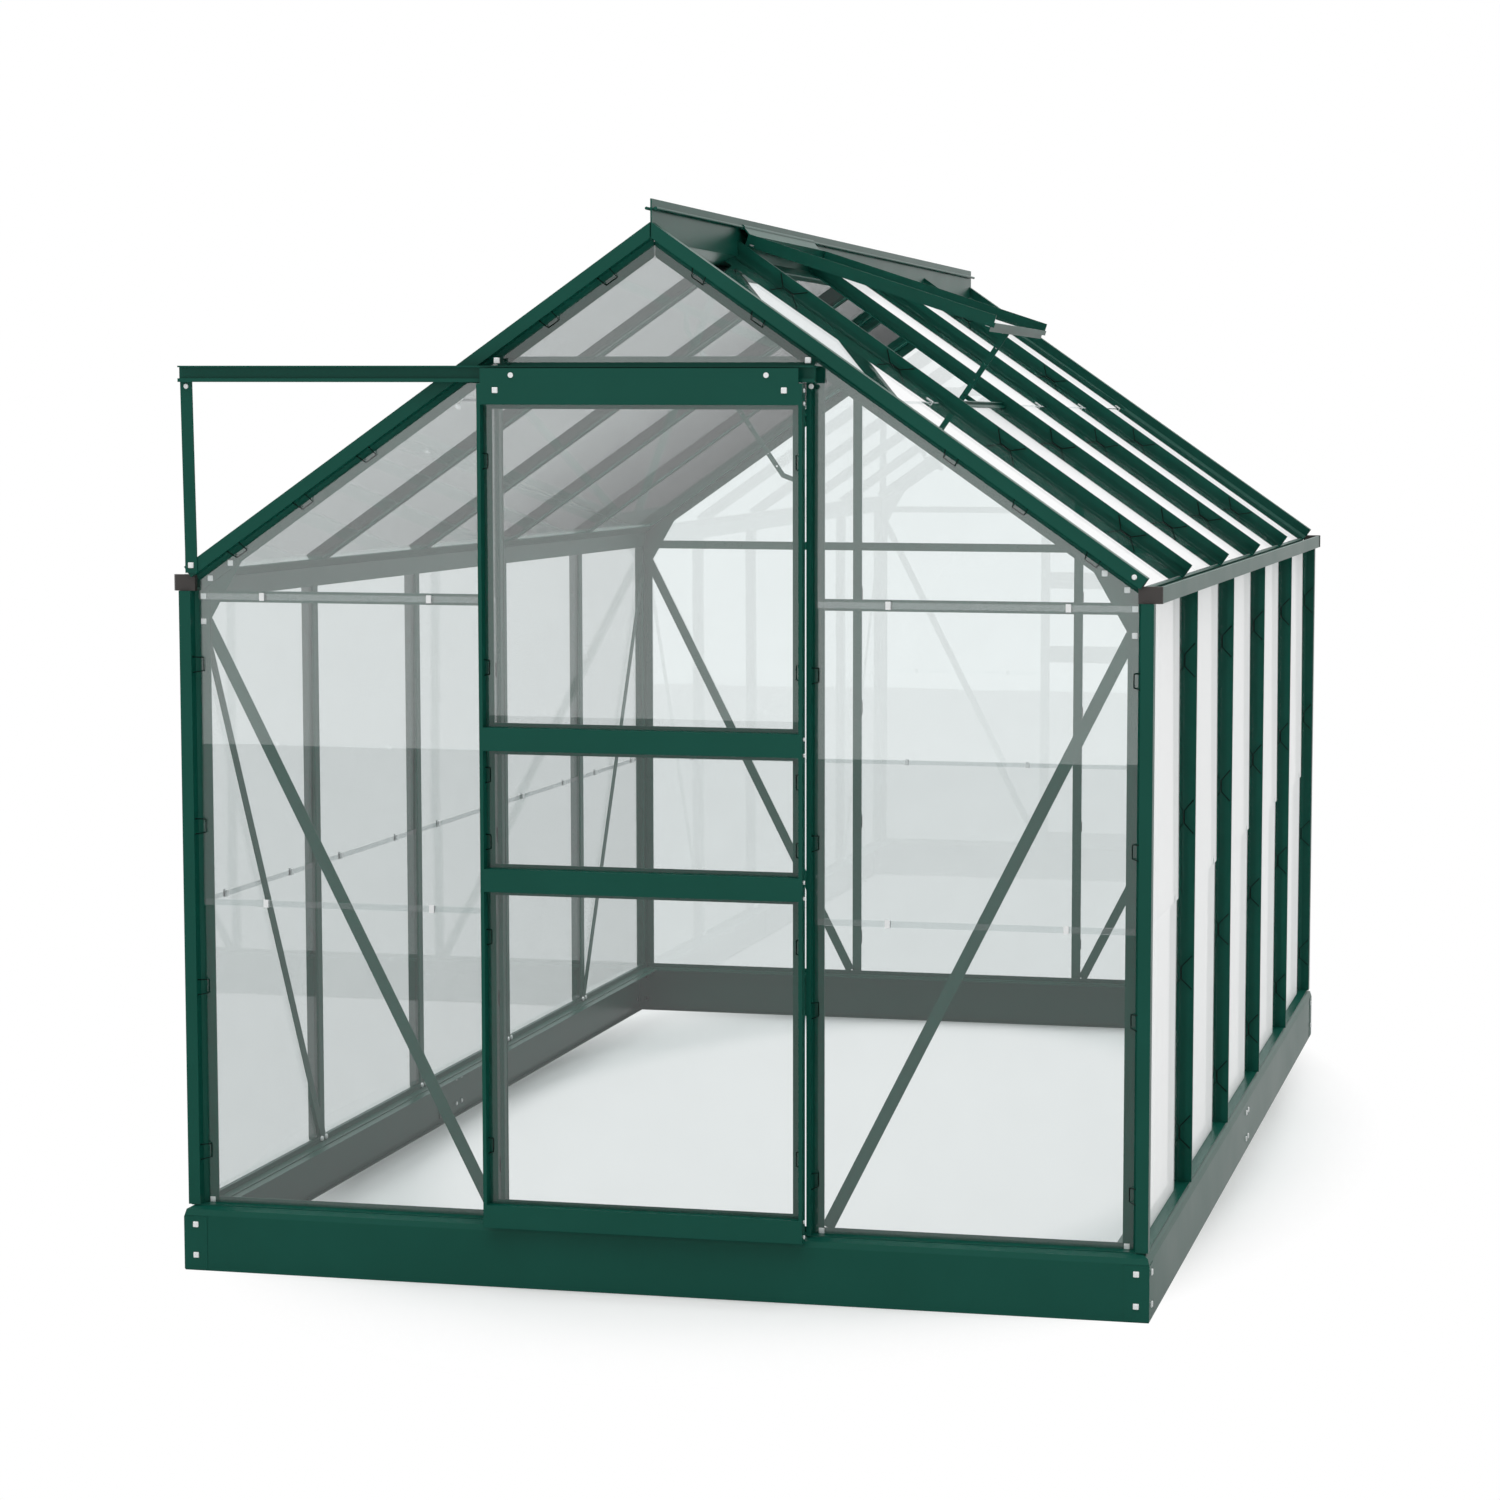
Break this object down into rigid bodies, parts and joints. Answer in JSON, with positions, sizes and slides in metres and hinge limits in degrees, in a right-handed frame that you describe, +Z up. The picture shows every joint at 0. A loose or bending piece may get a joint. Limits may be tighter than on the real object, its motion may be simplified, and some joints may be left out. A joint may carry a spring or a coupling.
{
  "type": "greenhouse",
  "caption": "Gable greenhouse of green coated aluminium bars and lapped glass panes on a folded base, with a hanging sliding door and roof vents on stays.",
  "frame": {"origin": "on the ground, at the middle of the footprint, door included", "axes": "+Z up, +X to the right as seen from the door, +Y from the door gable to the back gable"},
  "size_m": [1.932, 3.17, 2.079],
  "materials": {
    "green_coat": "satin green powder coat on aluminium",
    "glass": "clear float glass",
    "black_plastic": "moulded",
    "nylon": "turned nylon",
    "plated_steel": "bright plated"
  },
  "bodies": {
    "frame": {"back_gable_bars": "green_coat", "back_rakes": "green_coat", "base_back": "green_coat", "base_front": "green_coat", "base_joint_plates": "green_coat", "base_left": "green_coat", "base_right": "green_coat", "corner_post_back_left": "green_coat", "corner_post_back_right": "green_coat", "corner_post_front_left": "green_coat", "corner_post_front_right": "green_coat", "door_jambs": "green_coat", "door_track": "green_coat", "door_transom": "green_coat", "eave_gussets": "green_coat", "eave_gutter_left": "green_coat", "eave_gutter_right": "green_coat", "eave_ties": "green_coat", "front_rakes": "green_coat", "gable_braces": "green_coat", "glass_back": "glass", "glass_front": "glass", "glass_left_wall": "glass", "glass_right_wall": "glass", "glass_roof_left": "glass", "glass_roof_right": "glass", "gutter_end_caps": "black_plastic", "ridge_bar": "green_coat", "roof_bars_left": "green_coat", "roof_bars_right": "green_coat", "sill_back": "green_coat", "sill_front": "green_coat", "sill_left": "green_coat", "sill_right": "green_coat", "track_strut": "green_coat", "vent_sills": "green_coat", "wall_bars_left": "green_coat", "wall_bars_right": "green_coat", "wall_braces": "green_coat"},
    "door": {"door_left_stile": "green_coat", "door_right_stile": "green_coat", "door_top_rail": "green_coat", "door_mid_rails": "green_coat", "door_bottom_rail": "green_coat", "door_glass": "glass", "door_roller_axles": "plated_steel"},
    "roller_left": {"door_roller_left": "nylon"},
    "roller_right": {"door_roller_right": "nylon"},
    "right_vent": {"right_vent_top_rail": "green_coat", "right_vent_side_bars": "green_coat", "right_vent_lower_rail": "green_coat", "right_vent_glass": "glass"},
    "right_stay": {"right_vent_stay": "green_coat"},
    "left_vent": {"left_vent_top_rail": "green_coat", "left_vent_side_bars": "green_coat", "left_vent_lower_rail": "green_coat", "left_vent_glass": "glass"},
    "left_stay": {"left_vent_stay": "green_coat"}
  },
  "joints": [
    {"name": "door_slide", "type": "slide", "parent": "frame", "child": "door", "axis": [-1, 0, 0], "range_m": [0, 0.6]},
    {"name": "right_vent_hinge", "type": "hinge", "parent": "frame", "child": "right_vent", "pos_m": [0.009, -0.606, 2.061], "axis": [0, -1, 0], "range_deg": [-16.8, 9]},
    {"name": "left_vent_hinge", "type": "hinge", "parent": "frame", "child": "left_vent", "pos_m": [-0.009, 0.634, 2.061], "axis": [0, 1, 0], "range_deg": [0, 25.8]},
    {"name": "right_stay_pivot", "type": "hinge", "parent": "right_vent", "child": "right_stay", "pos_m": [0.50513, -0.606, 1.85704], "axis": [0, -1, 0], "range_deg": [-9, 16.8]},
    {"name": "left_stay_pivot", "type": "hinge", "parent": "left_vent", "child": "left_stay", "pos_m": [-0.42501, 0.634, 1.72235], "axis": [0, 1, 0], "range_deg": [-25.8, 0]},
    {"name": "roller_left_spin", "type": "hinge", "parent": "door", "child": "roller_left", "pos_m": [-0.262, -1.5635, 1.751], "axis": [0, -1, 0], "range_deg": [0, 3545]},
    {"name": "roller_right_spin", "type": "hinge", "parent": "door", "child": "roller_right", "pos_m": [0.232, -1.5635, 1.751], "axis": [0, -1, 0], "range_deg": [0, 3545]}
  ],
  "couplings": [
    {"joint": "right_stay_pivot", "follows": "right_vent_hinge", "ratio": -1},
    {"joint": "left_stay_pivot", "follows": "left_vent_hinge", "ratio": -1},
    {"joint": "roller_left_spin", "follows": "door_slide", "rad_per_m": 103.09},
    {"joint": "roller_right_spin", "follows": "door_slide", "rad_per_m": 103.09}
  ]
}
